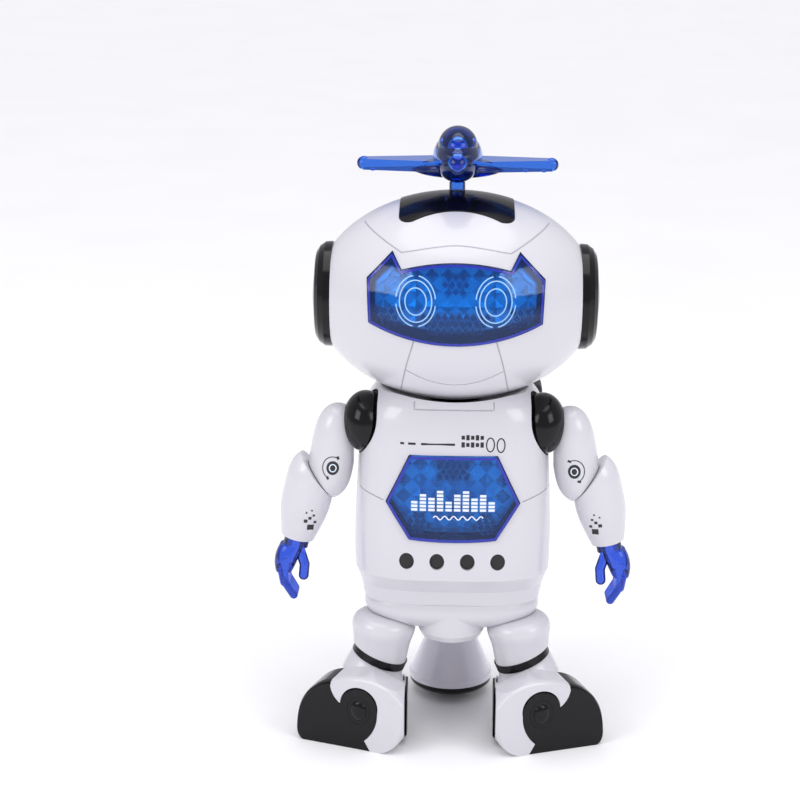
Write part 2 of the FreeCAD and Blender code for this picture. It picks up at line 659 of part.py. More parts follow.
def build_arms():
    angle = math.radians(ELBOW_NORMAL_DEG)
    normal = (math.cos(angle), 0.0, -math.sin(angle))
    cap = shoulder_turning(25.0, 41.5, 0.0)
    cap = cap.cut(rod((20, SHOULDER_Y, SHOULDER_Z), (37.0, SHOULDER_Y, SHOULDER_Z), 2.0))

    length = (vec(*ARM_END) - vec(*ARM_TOP)).Length
    sleeve = turned(ARM_TOP, ARM_END, [(0, 0), (1.2, 4.2), (4.5, 6.6), (10.0, 8.0), (18.0, ARM_R),
                                       (length - 4.0, ARM_R), (length + 3.6, 6.6), (length + 7.4, 2.8),
                                       (length + 8.3, 0)])
    sleeve = sleeve.common(elbow_half_space(False, 0.2))
    sleeve = sleeve.cut(shoulder_turning(20.0, 42.0, 0.0))
    pin_hole = rod(along(ELBOW, tuple(e - n for e, n in zip(ELBOW, normal)), 6.0), ELBOW, 2.0 + RUN)
    sleeve = sleeve.cut(pin_hole)
    sleeve = sleeve.common(box(36.9, 80, -60, 60, 60, 180))
    save("upper_arm_left", sleeve)
    save("upper_arm_right", mirrored(sleeve))
    save("shoulder_cap_left", cap)
    save("shoulder_cap_right", mirrored(cap))

    length = (vec(*FOREARM_END) - vec(*FOREARM_TOP)).Length
    fore = turned(FOREARM_TOP, FOREARM_END, [(0, 0), (0.8, 3.4), (3.2, 6.8), (8.0, 8.9), (14.0, FOREARM_R),
                                             (22.0, 9.1), (28.0, 8.0), (length, 6.2)])
    fore = fore.common(elbow_half_space(True, 0.2))
    pin = rod(along(ELBOW, tuple(e - n for e, n in zip(ELBOW, normal)), 5.5),
              along(ELBOW, tuple(e + n for e, n in zip(ELBOW, normal)), 1.0), 2.0)
    fore = fore.fuse(pin)
    fore = fore.cut(rod(along(FOREARM_END, FOREARM_TOP, 8.0), FOREARM_END, WRIST_R + RUN))
    save("forearm_left", fore)
    save("forearm_right", mirrored(fore))

    down = (vec(*FOREARM_END) - vec(*FOREARM_TOP)).normalize()
    wrist = vec(*FOREARM_END)
    peg = rod(along(FOREARM_END, FOREARM_TOP, 7.5), along(FOREARM_END, FOREARM_TOP, -3.0), WRIST_R)
    y = FOREARM_END[1]
    cuff = rod(tuple(wrist + down * 0.3), tuple(wrist + down * 3.4), 4.7)
    palm = loft([rounded_ring(60.2, y - 4.7, y + 4.7, 72.6, 4.4, 2.4),
                 rounded_ring(61.7, y - 5.6, y + 5.6, 68.6, 4.7, 2.6),
                 rounded_ring(63.0, y - 5.8, y + 5.8, 62.6, 3.3, 2.8)])
    shapes = [peg, cuff, palm]
    for i in range(4):
        offset = -4.3 + 2.87 * i
        knuckle = (63.4, y + offset, 63.2)
        middle = (62.6, y + offset * 0.95, 58.6)
        end = (59.4, y + offset * 0.85, 53.3)
        shapes.append(rod(knuckle, middle, 1.9))
        shapes.append(rod(middle, end, 1.6))
        for point, radius in ((knuckle, 1.9), (middle, 1.9), (end, 1.6)):
            shapes.append(Part.makeSphere(radius, vec(*point)))
    thumb = ((56.9, y - 2.4, 70.6), (55.2, y - 3.2, 65.4), (55.6, y - 3.0, 61.0))
    for start, end in zip(thumb[:-1], thumb[1:]):
        shapes.append(rod(start, end, 1.9))
    for point in thumb:
        shapes.append(Part.makeSphere(1.9, vec(*point)))
    hand = fuse(shapes)
    save("hand_left", hand)
    save("hand_right", mirrored(hand))


# ---------------------------------------------------------------------------
# Battery pack on the back
# ---------------------------------------------------------------------------

def build_pack():
    z0 = 64.0
    z1 = 120.0
    half = 23.6
    tray = box(-half, half, 23.0, 39.4, z0, z1).cut(box(-half + 1.2, half - 1.2, 24.4, 45, z0 + 1.4, z1 - 1.4))
    save("battery_tray", tray)

    cells = []
    contacts = []
    for i in range(3):
        x = (i - 1) * CELL_PITCH
        base = z0 + 3.6
        cell = fuse([rod((x, PACK_Y, base), (x, PACK_Y, base + CELL_LENGTH - 1.4), CELL_R),
                     rod((x, PACK_Y, base), (x, PACK_Y, base + CELL_LENGTH), 2.7)])
        cells.append(cell)
        contacts.append(box(x - 5, x + 5, PACK_Y - 6, PACK_Y + 6, z0 + 1.4, z0 + 1.8))
        coil = [Part.makeTorus(3.6 - 0.3 * k, 0.3, vec(x, PACK_Y, z0 + 2.1 + 0.5 * k)) for k in range(3)]
        contacts.extend(coil)
        top = base + CELL_LENGTH
        contacts.append(box(x - 5, x + 5, PACK_Y - 6, PACK_Y + 6, top, z1 - 1.4))
    save("battery_cells", Part.makeCompound(cells))
    save("battery_contacts", Part.makeCompound(contacts))

    shell = box(-28, 28, 16, PACK_REAR_Y, 60, 124)
    upright = [e for e in shell.Edges if abs(e.Vertexes[0].Z - e.Vertexes[-1].Z) > 30]
    shell = shell.makeFillet(6.0, upright)
    pod = box(24.0, 33.6, 19.0, 34.0, 112.0, 127.6)
    pod = pod.makeFillet(2.4, [e for e in pod.Edges if e.BoundBox.XMin > 33.0 or e.BoundBox.ZMin > 127.0])
    body = fuse([shell, pod])
    body = body.cut(box(-half - 0.1, half + 0.1, 10, 60, z0 - 0.1, z1 + 0.1))
    body = body.cut(torso_solid(0.0))
    body = body.cut(box(-60, 60, -60, 12, 0, 200))
    body = body.cut(box(-25.6, 25.6, DOOR_Y - 0.2, 60, 66.0, 118.0))
    body = body.cut(box(7.6, 16.4, 37.2, 39.4, 61.0, 63.2))
    body = body.cut(box(8.6, 15.4, 39.0, 60, 61.3, 62.9))
    save("backpack", body)

    door = box(-25.4, 25.4, DOOR_Y, 41.4, 66.2, 117.8)
    ribs = [box(-18, 18, 41.4, 42.0, z, z + 2.0) for z in (76, 82, 88, 94, 100, 106)]
    door = fuse([door] + ribs).cut(rod((0, 30, 70.5), (0, 50, 70.5), 1.5))
    door = door.cut(rod((0, 40.6, 70.5), (0, 50, 70.5), 2.6))
    save("battery_door", door)
    save("battery_door_screw", fuse([rod((0, 39.3, 70.5), (0, 40.6, 70.5), 1.4),
                                     rod((0, 40.6, 70.5), (0, 41.6, 70.5), 2.5)]))
    knob = fuse([box(8.0, 12.0, 37.4, 39.2, 61.2, 63.0), box(8.8, 11.2, 39.2, BACK_Y, 61.4, 62.8)])
    save("power_switch", knob)


# ---------------------------------------------------------------------------
# Pelvis, legs and feet
# ---------------------------------------------------------------------------

def build_pelvis():
    rings = [rounded_ring(0, -10.0, 12.0, 40.0, 17.0, 2.6),
             rounded_ring(0, -17.5, 18.0, 43.2, 27.0, 2.8),
             rounded_ring(0, -21.5, 20.5, 47.5, 32.5, 3.0),
             rounded_ring(0, -21.0, 20.5, 53.0, 32.0, 3.2)]
    bowl = loft(rings)
    boss = lathe((0, -9.5, 0), (0, -9.5, 1), [(37.2, 0), (37.2, 9.0), (38.4, 11.4), (40.5, 12.4), (50.0, 12.4),
                                             (50.0, 0)])
    bracket = rod((0, CONE_Y, 33.4), (0, CONE_Y, 53.0), 9.0)
    arm = box(-8, 8, 10, CONE_Y, 43.0, 53.0)
    pelvis = fuse([bowl, boss, bracket, arm])
    hollow = box(-22, 22, -14, 14, 47.0, 60.0)
    pelvis = pelvis.cut(hollow)
    pelvis = pelvis.cut(rod((0, CONE_Y, 30), (0, CONE_Y, 50), 2.5))
    for side in (-1, 1):
        pelvis = pelvis.cut(thigh_solid(side, 0.3))
    save("pelvis", pelvis)


def thigh_solid(side, offset):
    top = (side * 24.8, LEG_Y, 47.0)
    end = (side * 27.6, LEG_Y, 24.0)
    return turned(top, end, [(0 - offset, 0), (0.6 - offset, 6.0), (2.0 - offset, 10.2), (4.0, 11.7 + offset),
                             (10.0, 11.1 + offset), (16.0, 10.4 + offset), (24.0, 10.0 + offset)])


def knee_plane(side, above, offset):
    """Large block above or below the slanted knee, moved up by offset."""
    tilt = math.radians(KNEE_TILT_DEG)
    normal = vec(-side * math.sin(tilt), 0, math.cos(tilt))
    centre = vec(side * KNEE[0], KNEE[1], KNEE[2]) + normal * offset
    direction = normal if above else normal * -1.0
    block = Part.makeBox(120, 120, 120, vec(-60, -60, 0))
    block.Placement = FreeCAD.Placement(centre, FreeCAD.Rotation(vec(0, 0, 1), direction))
    return block


def tilted_disc(radius_x, radius_y, offset, thick):
    """Oval disc square to the slanted knee of the robot's left leg."""
    ellipse = Part.Wire([Part.Ellipse(vec(0, 0, 0), radius_x, radius_y).toShape()])
    disc = Part.Face(ellipse).extrude(vec(0, 0, thick))
    tilt = math.radians(KNEE_TILT_DEG)
    normal = vec(-math.sin(tilt), 0, math.cos(tilt))
    centre = vec(*KNEE) + normal * offset
    disc.Placement = FreeCAD.Placement(centre, FreeCAD.Rotation(vec(0, 1, 0), -KNEE_TILT_DEG))
    return disc


def to_foot(shape):
    """Place a shape made in foot coordinates (x along the foot, y backwards)."""
    shape.Placement = FreeCAD.Placement(vec(FOOT_ORIGIN[0], FOOT_ORIGIN[1], 0),
                                        FreeCAD.Rotation(vec(0, 0, 1), FOOT_TURN_DEG))
    return shape


SHOE = [
    [(3.2, 0.0), (31.2, 0.0)],
    [(31.2, 0.0), (33.2, 2.2), (33.6, 6.6), (32.6, 13.3), (30.6, 17.9), (27.2, 21.8), (19.4, 25.6)],
    [(19.4, 25.6), (18.6, 21.5), (15.4, 17.6)],
    [(15.4, 17.6), (ANKLE_S, ANKLE_Z + ANKLE_RZ), (ANKLE_S - ANKLE_RX, ANKLE_Z)],
    [(ANKLE_S - ANKLE_RX, ANKLE_Z), (2.2, 8.2), (5.6, 4.0)],
    [(5.6, 4.0), (3.2, 0.0)],
]
LEG_FOOT = [
    [(30.0, 0.0), (-1.0, 0.0)],
    [(-1.0, 0.0), (-5.4, 2.2), (-8.8, 7.0), (-10.2, 12.5), (-10.3, 20.0)],
    [(-10.3, 20.0), (-2.0, 27.0), (8.0, 28.4), (19.4, 25.6)],
    [(19.4, 25.6), (30.0, 0.0)],
]


def foot_section(pieces, y, stretch_x, stretch_z, centre_x, centre_z):
    """The outline at one depth, drawn in towards a centre."""
    moved = []
    for piece in pieces:
        moved.append([(centre_x + (x - centre_x) * stretch_x, centre_z + (z - centre_z) * stretch_z)
                      for x, z in piece])
    wire = outline_xz(moved)
    wire.translate(vec(0.0, y, 0.0))
    return wire


def rounded_foot(pieces, centre_x, profile):
    """Foot part with softened front and back.  profile lists (depth, width, height) shares."""
    wires = [foot_section(pieces, y, wide, tall, centre_x, 0.0) for y, wide, tall in profile]
    return Part.makeLoft(wires, True, True)


def knee_wire(offset, radius):
    """Round outline square to the slanted knee of the robot's left leg."""
    wire = Part.Wire([Part.Ellipse(vec(0, 0, 0), radius, radius - 0.001).toShape()])
    tilt = math.radians(KNEE_TILT_DEG)
    normal = vec(-math.sin(tilt), 0, math.cos(tilt))
    centre = vec(*KNEE) + normal * offset
    wire.Placement = FreeCAD.Placement(centre, FreeCAD.Rotation(vec(0, 1, 0), -KNEE_TILT_DEG))
    return wire


def build_legs():
    for side, name in ((1, "left"), (-1, "right")):
        thigh = thigh_solid(side, 0.0).common(knee_plane(side, True, RING_THICK / 2.0))
        save("thigh_" + name, thigh)
    ring = tilted_disc(10.6, 10.6, -RING_THICK / 2.0, RING_THICK)
    ring = ring.cut(tilted_disc(5.0, 5.0, -5.0, 10.0))
    save("knee_rings", Part.makeCompound([ring, mirrored(ring)]))

    profile = ((0.0, 0.95, 0.97), (0.8, 0.985, 0.99), (2.4, 1.0, 1.0), (13.0, 1.0, 1.0))
    base = to_foot(rounded_foot(LEG_FOOT, 10.0, profile)).common(knee_plane(1, False, -RING_THICK / 2.0))
    top = knee_wire(-RING_THICK / 2.0, KNEE_R)
    under = knee_wire(-RING_THICK / 2.0 - 2.2, KNEE_R + 0.5)
    mid = rounded_ring(29.8, -29.4, -3.4, 20.5, 13.2, 2.4)
    low = rounded_ring(30.4, -34.6, -8.0, 14.0, 14.0, 2.6)
    shin = loft([low, mid, under, top])
    inside = box(SHIN_INSIDE_X, 80, -80, 40, 0, 40)
    heel = rounded_foot(LEG_FOOT, 10.0, ((9.0, 0.97, 0.86), (12.0, 0.99, 0.88), (22.0, 0.97, 0.85),
                                         (26.0, 0.90, 0.78)))
    heel = to_foot(heel).common(box(SHIN_INSIDE_X - 0.8, 80, -80, 40, 0, 20.5))
    toe = rounded_foot(SHOE, TOE_MIDDLE, ((0.3, 0.97, 0.96), (1.2, 0.99, 0.99), (3.0, 1.0, 1.0), (13.5, 1.0, 1.0),
                                          (20.0, 0.92, 0.88), (24.5, 0.82, 0.74), (26.5, 0.70, 0.62)))
    toe = to_foot(toe)
    toe_room = to_foot(prism_xz(SHOE, -5.0, 40.0))
    leg = base.fuse(shin).common(inside).cut(toe_room).cut(heel).removeSplitter()
    save("shin_left", leg)
    save("shin_right", mirrored(leg))
    shoe = toe.fuse(heel.cut(base)).removeSplitter()
    recess = to_foot(oval_rod(ANKLE_S, ANKLE_Z, -2.0, 2.1, BUTTON_RX, BUTTON_RZ))
    shoe = shoe.cut(recess)
    save("shoe_left", shoe)
    save("shoe_right", mirrored(shoe))

    disc = oval_rod(ANKLE_S, ANKLE_Z, 0.3, 2.0, BUTTON_RX - 0.1, BUTTON_RZ - 0.1)
    button = ellipsoid(ANKLE_S, 0.4, ANKLE_Z, 3.2, 1.5, 3.9)
    cap = to_foot(disc.fuse(button))
    save("ankle_caps", Part.makeCompound([cap, mirrored(cap)]))


# ---------------------------------------------------------------------------
# Drive cone with its wheel
# ---------------------------------------------------------------------------

def build_cone():
    skin = lathe((0, CONE_Y, 0), (0, CONE_Y, 1), [
        (CONE_BASE_Z, CONE_BASE_R - 1.8), (CONE_BASE_Z, CONE_BASE_R), (CONE_BASE_Z + 2.0, CONE_BASE_R),
        (CONE_BASE_Z + 2.6, CONE_BASE_R - 0.6), (CONE_TOP_Z, CONE_TOP_R), (CONE_TOP_Z + 3.6, CONE_TOP_R),
        (CONE_TOP_Z + 3.6, 2.5 + RUN), (CONE_TOP_Z - 3.0, 2.5 + RUN), (CONE_TOP_Z - 3.0, CONE_TOP_R - 1.4),
        (CONE_BASE_Z + 3.0, CONE_BASE_R - 2.8)])
    cheeks = []
    for side in (-1, 1):
        x = side * 6.0
        cheek = box(min(x, x + side * 2.4), max(x, x + side * 2.4), CONE_Y - 4, CONE_Y + 4, 5.0, 27.0)
        cheeks.append(cheek.common(lathe((0, CONE_Y, 0), (0, CONE_Y, 1), [
            (4, 0), (4, 14.0), (CONE_BASE_Z + 3.0, 14.0), (CONE_TOP_Z, CONE_TOP_R - 0.6), (CONE_TOP_Z, 0)])))
    cone = fuse([skin] + cheeks)
    cone = cone.cut(rod((-10, CONE_Y, WHEEL_R), (10, CONE_Y, WHEEL_R), 1.5))
    save("drive_cone", cone)
    ring = lathe((0, CONE_Y, 0), (0, CONE_Y, 1), [
        (RING_BASE_Z, CONE_BASE_R - 2.6), (RING_BASE_Z, CONE_BASE_R - 1.4), (RING_BASE_Z + 1.2, CONE_BASE_R - 0.3),
        (CONE_BASE_Z, CONE_BASE_R - 0.2), (CONE_BASE_Z, CONE_BASE_R - 2.6)])
    save("cone_base_ring", ring)
    save("swivel_pin", fuse([rod((0, CONE_Y, 24.6), (0, CONE_Y, 49.0), 2.5),
                             rod((0, CONE_Y, 23.4), (0, CONE_Y, 25.6), 4.0)]))
    save("wheel_axle", rod((-8.4, CONE_Y, WHEEL_R), (8.4, CONE_Y, WHEEL_R), 1.5))
    half = WHEEL_WIDTH / 2.0
    hub = tube((-half, CONE_Y, WHEEL_R), (half, CONE_Y, WHEEL_R), WHEEL_R - 2.0, 1.5 + RUN)
    save("drive_wheel", hub)
    tyre = tube((-half, CONE_Y, WHEEL_R), (half, CONE_Y, WHEEL_R), WHEEL_R, WHEEL_R - 2.0)
    tyre = tyre.makeFillet(0.8, [e for e in tyre.Edges if e.Length > 2 * math.pi * (WHEEL_R - 1.0)])
    save("drive_tyre", tyre)


build_head()
build_plane()
build_torso()
build_arm_drive()
build_arms()
build_pack()
build_pelvis()
build_legs()
build_cone()
whole = Part.makeCompound(list(NODES.values())).optimalBoundingBox(False)
print("whole  x %.1f %.1f  y %.1f %.1f  z %.1f %.1f  nodes %d" % (
    whole.XMin, whole.XMax, whole.YMin, whole.YMax, whole.ZMin, whole.ZMax, len(NODES)))
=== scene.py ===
import json
import math

import bpy
from mathutils import Matrix, Vector
from mathutils.bvhtree import BVHTree


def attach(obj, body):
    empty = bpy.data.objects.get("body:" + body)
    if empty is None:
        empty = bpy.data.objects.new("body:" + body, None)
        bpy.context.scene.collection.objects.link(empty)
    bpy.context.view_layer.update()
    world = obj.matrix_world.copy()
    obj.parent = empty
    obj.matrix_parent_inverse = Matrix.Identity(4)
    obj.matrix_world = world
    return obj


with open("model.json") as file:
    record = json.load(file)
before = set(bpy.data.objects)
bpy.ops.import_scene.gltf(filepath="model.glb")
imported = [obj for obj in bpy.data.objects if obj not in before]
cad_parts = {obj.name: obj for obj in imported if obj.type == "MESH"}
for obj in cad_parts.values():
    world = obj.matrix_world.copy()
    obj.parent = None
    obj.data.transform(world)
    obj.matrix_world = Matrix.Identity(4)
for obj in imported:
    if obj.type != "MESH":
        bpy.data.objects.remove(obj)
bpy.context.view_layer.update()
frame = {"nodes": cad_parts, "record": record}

MM = 0.001
NODES = frame["nodes"]
SIDES = ((-1, "right"), (1, "left"))      # the robot's own right and left

# Camera: a long lens, a little above the robot, turned a touch to one side.  Distances in metres
CAMERA_BACK = 0.661
CAMERA_HEIGHT = 0.307
CAMERA_YAW_DEG = 1.75
CAMERA_PITCH_DEG = 15.28
CAMERA_ROLL_DEG = 0.35
CAMERA_LENS = 82.9

# Lines and prints lie just above the surface that they follow.  Sizes in millimetres
PRINT_LIFT = 0.05
GROOVE_WIDTH = 0.9
SMOOTH_ANGLE_DEG = 32     # edges sharper than this stay crisp

# Moulded grooves on the head shell, drawn as stripes of painted shade, as (x, z)
BROW_ARC = [(-19.0, 187.9), (0.0, 190.7), (19.0, 187.9)]
BROW_SIDE = [(19.0, 187.9), (33.0, 194.8)]
CHIN_SIDE = [(14.4, 158.2), (17.3, 147.0), (19.4, 135.0)]
CHIN_CROSS = [(-17.2, 146.2), (-8.9, 142.1), (0.0, 140.5), (8.9, 142.1), (17.2, 146.2)]

# Eye rings on the visor: half width, half height and the arcs that are drawn, in degrees
EYE_X = 13.8
EYE_Z = 172.6
EYE_LINE = 0.42
EYE_RINGS = (
    (6.9, 8.6, ((8, 82), (98, 172), (188, 262), (278, 352))),
    (5.6, 7.1, ((0, 360),)),
    (3.7, 4.6, ((0, 360),)),
)

# Diamonds of painted dark reflection on the faceted reflectors, in rows of (height, first x, number, 1 for
# the darker painted reflection)
VISOR_FACET_Y = -31.3
VISOR_FACET_SIZE = 2.5
VISOR_FACETS = (
    (164.9, -11.2, 10, 1), (162.4, -10.0, 9, 1), (159.9, -8.8, 8, 1), (163.6, -12.5, 10, 0),
    (167.0, -27.4, 4, 1), (164.7, -26.2, 3, 1), (162.6, -22.4, 2, 1),
    (167.0, 20.2, 4, 1), (164.7, 21.4, 3, 1), (162.6, 20.2, 2, 1),
    (179.2, -2.5, 3, 0), (176.6, -3.8, 4, 0), (174.0, -2.5, 3, 0),
)
CHEST_FACET_Y = -24.15
CHEST_FACET_SIZE = 2.4
CHEST_FACETS = (
    (110.2, -3.6, 4, 0), (108.2, -4.8, 5, 1), (106.2, -3.6, 4, 1), (104.2, -4.8, 5, 1),
    (93.0, -4.8, 5, 0), (88.6, -6.0, 6, 0),
    (89.4, -13.6, 2, 1), (87.2, -15.4, 3, 1), (85.0, -16.0, 4, 1), (83.0, -14.0, 2, 0),
    (89.4, 11.2, 2, 1), (87.2, 9.8, 3, 1), (85.0, 8.0, 4, 1), (83.0, 10.8, 2, 0),
)

# Moulded grooves, drawn as stripes of painted shade, and prints on the torso
TORSO_SIDE_LINE = [(35.2, 98.2), (30.0, 97.2), (25.2, 95.9)]
TORSO_CHIN_LINE = [(-14.3, 132.2), (-14.3, 129.6), (14.3, 129.6), (14.3, 132.2)]
BANNER_Z = 117.6          # height of the row of printed bars and rings
BANNER_BARS = ((-18.5, 1.4), (-15.0, 2.7), (-5.6, 12.2))     # (middle, width)
BANNER_BAR_HEIGHT = 0.8
TICK_START = (3.4, 120.2)
TICK_PITCH = (1.7, 2.6)
TICK_WIDTH = 1.2
TICK_HEIGHTS = (1.4, 1.9)
BANNER_RINGS = ((13.2, 117.6), (17.0, 117.3))
BANNER_RING_SIZE = (1.4, 2.5)

# Bars and wave printed on the chest window
CHEST_BARS = (3, 5, 4, 6, 3, 5, 6, 4, 5, 3)     # blocks stacked in each column
CHEST_BAR_START = (-13.9, 93.6)
CHEST_BAR_PITCH = (3.1, 1.35)
CHEST_BAR_SIZE = (2.3, 0.95)
WAVE_START = (-7.0, 90.6)
WAVE_STEP = 0.6
WAVE_HEIGHT = 0.75
WAVE_TURN = 1.15          # radians from one point of the wave to the next
WAVE_POINTS = 31

# Dial printed on each upper arm
DIAL_X = 44.2
DIAL_Z = 104.8
DIAL_DISC = (2.3, 2.7)
DIAL_MARK = (1.2, 1.4)
DIAL_RING = (3.7, 4.3)
DIAL_END_REACH = (3.8, 4.4)
DIAL_END_SIZE = (1.3, 0.9)
DIAL_START_DEG = 60.0

# Falling squares printed on each forearm, as (sideways, up, size) from the lowest one
SQUARES_X = 52.7
SQUARES_Z = 81.4
SQUARES_TURN_DEG = 8.0
SQUARES = (
    (0.0, 0.0, 2.3), (1.7, 2.0, 1.0), (-1.6, 2.8, 1.3), (0.0, 3.9, 1.1), (1.4, 4.9, 0.8),
    (-1.2, 6.2, 0.6), (0.8, 7.0, 0.6),
)

# Outlines of the two clear windows: a piece of two points is a line, of three a curve
VISOR = [
    [(-30.5, 163.6), (-31.2, 178.9)],
    [(-31.2, 178.9), (-22.2, 188.3)],
    [(-22.2, 188.3), (-18.9, 182.6)],
    [(-18.9, 182.6), (0.0, 185.4), (18.9, 182.6)],
    [(18.9, 182.6), (22.2, 188.3)],
    [(22.2, 188.3), (31.2, 178.9)],
    [(31.2, 178.9), (30.5, 163.6)],
    [(30.5, 163.6), (0.0, 156.9), (-30.5, 163.6)],
]
CHEST = [
    [(-24.5, 95.5), (-16.0, 113.5)],
    [(-16.0, 113.5), (16.0, 113.5)],
    [(16.0, 113.5), (24.5, 95.5)],
    [(24.5, 95.5), (15.9, 81.8)],
    [(15.9, 81.8), (0.0, 80.9), (-15.9, 81.8)],
    [(-15.9, 81.8), (-24.5, 95.5)],
]

# Stage and lights
FLOOR_HALF = 14.0
WORLD_COLOUR = (0.95, 0.94, 1.0, 1.0)
WORLD_STRENGTH = 0.52
SUN_STRENGTH = 1.75
SUN_ANGLE_DEG = 60
BOX_PLACE = (0.80, -0.62, 0.66)
BOX_TARGET = (0, 0, 0.12)
BOX_SIZE = 0.55
LEFT_BOX_POWER = 3.6
RIGHT_BOX_POWER = 3.3


# ---------------------------------------------------------------------------
# Node materials
# ---------------------------------------------------------------------------

def new_material(name):
    """An empty node material with its output node."""
    material = bpy.data.materials.new(name)
    material.use_nodes = True
    tree = material.node_tree
    tree.nodes.clear()
    output = tree.nodes.new("ShaderNodeOutputMaterial")
    return material, tree, output


def add(tree, kind, **values):
    """A new node; values are attributes, or inputs when the name starts with 'in_'."""
    node = tree.nodes.new(kind)
    for key, value in values.items():
        if key.startswith("in_"):
            node.inputs[key[3:].replace("_", " ")].default_value = value
        else:
            setattr(node, key, value)
    return node


def link(tree, source, target):
    """Joins an output socket to an input socket."""
    tree.links.new(source, target)


def noise(tree, scale):
    """Soft noise fixed to the object; scale is in waves per metre."""
    place = add(tree, "ShaderNodeTexCoord")
    texture = add(tree, "ShaderNodeTexNoise", in_Scale=scale, in_Detail=3.0)
    link(tree, place.outputs["Object"], texture.inputs["Vector"])
    return texture.outputs["Fac"]


def ramp(tree, source, low, high):
    """A colour between low and high, driven by a 0-1 source."""
    mix = add(tree, "ShaderNodeMix", data_type="RGBA")
    link(tree, source, mix.inputs["Factor"])
    low_colour, high_colour, result = mix.inputs[6], mix.inputs[7], mix.outputs[2]
    low_colour.default_value = (*low, 1.0)
    high_colour.default_value = (*high, 1.0)
    return result


def spread(tree, source, low, high):
    """A number between low and high, driven by the middle part of a noise."""
    node = add(tree, "ShaderNodeMapRange")
    node.inputs["From Min"].default_value = 0.3
    node.inputs["From Max"].default_value = 0.7
    node.inputs["To Min"].default_value = low
    node.inputs["To Max"].default_value = high
    link(tree, source, node.inputs["Value"])
    return node.outputs["Result"]


def plastic(name, low, high, rough_low, rough_high, coat=0.0, bump=0.0, metal=0.0, scale=60.0, shine=0.5):
    """Moulded plastic or metal: two close shades, uneven gloss and a faint orange-peel."""
    material, tree, output = new_material(name)
    shader = add(tree, "ShaderNodeBsdfPrincipled")
    link(tree, ramp(tree, noise(tree, scale), low, high), shader.inputs["Base Color"])
    link(tree, spread(tree, noise(tree, scale * 4.0), rough_low, rough_high), shader.inputs["Roughness"])
    shader.inputs["Metallic"].default_value = metal
    shader.inputs["Specular IOR Level"].default_value = shine
    shader.inputs["Coat Weight"].default_value = coat
    shader.inputs["Coat Roughness"].default_value = 0.06
    if bump:
        node = add(tree, "ShaderNodeBump", in_Strength=bump, in_Distance=0.0002)
        link(tree, noise(tree, scale * 12.0), node.inputs["Height"])
        link(tree, node.outputs["Normal"], shader.inputs["Normal"])
    link(tree, shader.outputs["BSDF"], output.inputs["Surface"])
    return material


def clear_plastic(name, thin, thick, solid, rough=0.04):
    """Tinted clear plastic: light passes straight through, with a mirror-like skin."""
    material, tree, output = new_material(name)
    tint = add(tree, "ShaderNodeBsdfTransparent")
    link(tree, ramp(tree, noise(tree, 45.0), thick, thin), tint.inputs["Color"])
    body = add(tree, "ShaderNodeBsdfPrincipled")
    lighter = tuple(1.1 * c for c in solid)
    link(tree, ramp(tree, noise(tree, 90.0), solid, lighter), body.inputs["Base Color"])
    link(tree, spread(tree, noise(tree, 200.0), rough, rough + 0.08), body.inputs["Roughness"])
    inner = add(tree, "ShaderNodeMixShader", in_Fac=0.12)
    link(tree, tint.outputs["BSDF"], inner.inputs[1])
    link(tree, body.outputs["BSDF"], inner.inputs[2])
    skin = add(tree, "ShaderNodeBsdfGlossy", in_Roughness=rough)
    link(tree, ramp(tree, noise(tree, 30.0), (0.85, 0.9, 1.0), (1.0, 1.0, 1.0)), skin.inputs["Color"])
    edge = add(tree, "ShaderNodeFresnel", in_IOR=1.38)
    whole = add(tree, "ShaderNodeMixShader")
    link(tree, edge.outputs["Fac"], whole.inputs["Fac"])
    link(tree, inner.outputs["Shader"], whole.inputs[1])
    link(tree, skin.outputs["BSDF"], whole.inputs[2])
    link(tree, whole.outputs["Shader"], output.inputs["Surface"])
    return material


def facet_mirror_painted_glints(name, dark, bright, cell):
    """Faceted silvering: every small diamond has its own brightness, a painted reflection for the light
    that each facet catches.
    """
    material, tree, output = new_material(name)
    place = add(tree, "ShaderNodeTexCoord")
    split = add(tree, "ShaderNodeSeparateXYZ")
    link(tree, place.outputs["Object"], split.inputs["Vector"])
    scaled = []
    for axis in ("X", "Z"):
        node = add(tree, "ShaderNodeMath", operation="DIVIDE")
        link(tree, split.outputs[axis], node.inputs[0])
        node.inputs[1].default_value = cell
        scaled.append(node.outputs["Value"])
    cells = []
    for operation in ("ADD", "SUBTRACT"):
        node = add(tree, "ShaderNodeMath", operation=operation)
        link(tree, scaled[0], node.inputs[0])
        link(tree, scaled[1], node.inputs[1])
        floor = add(tree, "ShaderNodeMath", operation="FLOOR")
        link(tree, node.outputs["Value"], floor.inputs[0])
        cells.append(floor.outputs["Value"])
    joined = add(tree, "ShaderNodeCombineXYZ")
    link(tree, cells[0], joined.inputs["X"])
    link(tree, cells[1], joined.inputs["Y"])
    white = add(tree, "ShaderNodeTexWhiteNoise", noise_dimensions="3D")
    link(tree, joined.outputs["Vector"], white.inputs["Vector"])
    shader = add(tree, "ShaderNodeBsdfPrincipled", in_Metallic=0.35)
    link(tree, ramp(tree, white.outputs["Value"], dark, bright), shader.inputs["Base Color"])
    link(tree, spread(tree, noise(tree, 150.0), 0.18, 0.32), shader.inputs["Roughness"])
    link(tree, shader.outputs["BSDF"], output.inputs["Surface"])
    return material


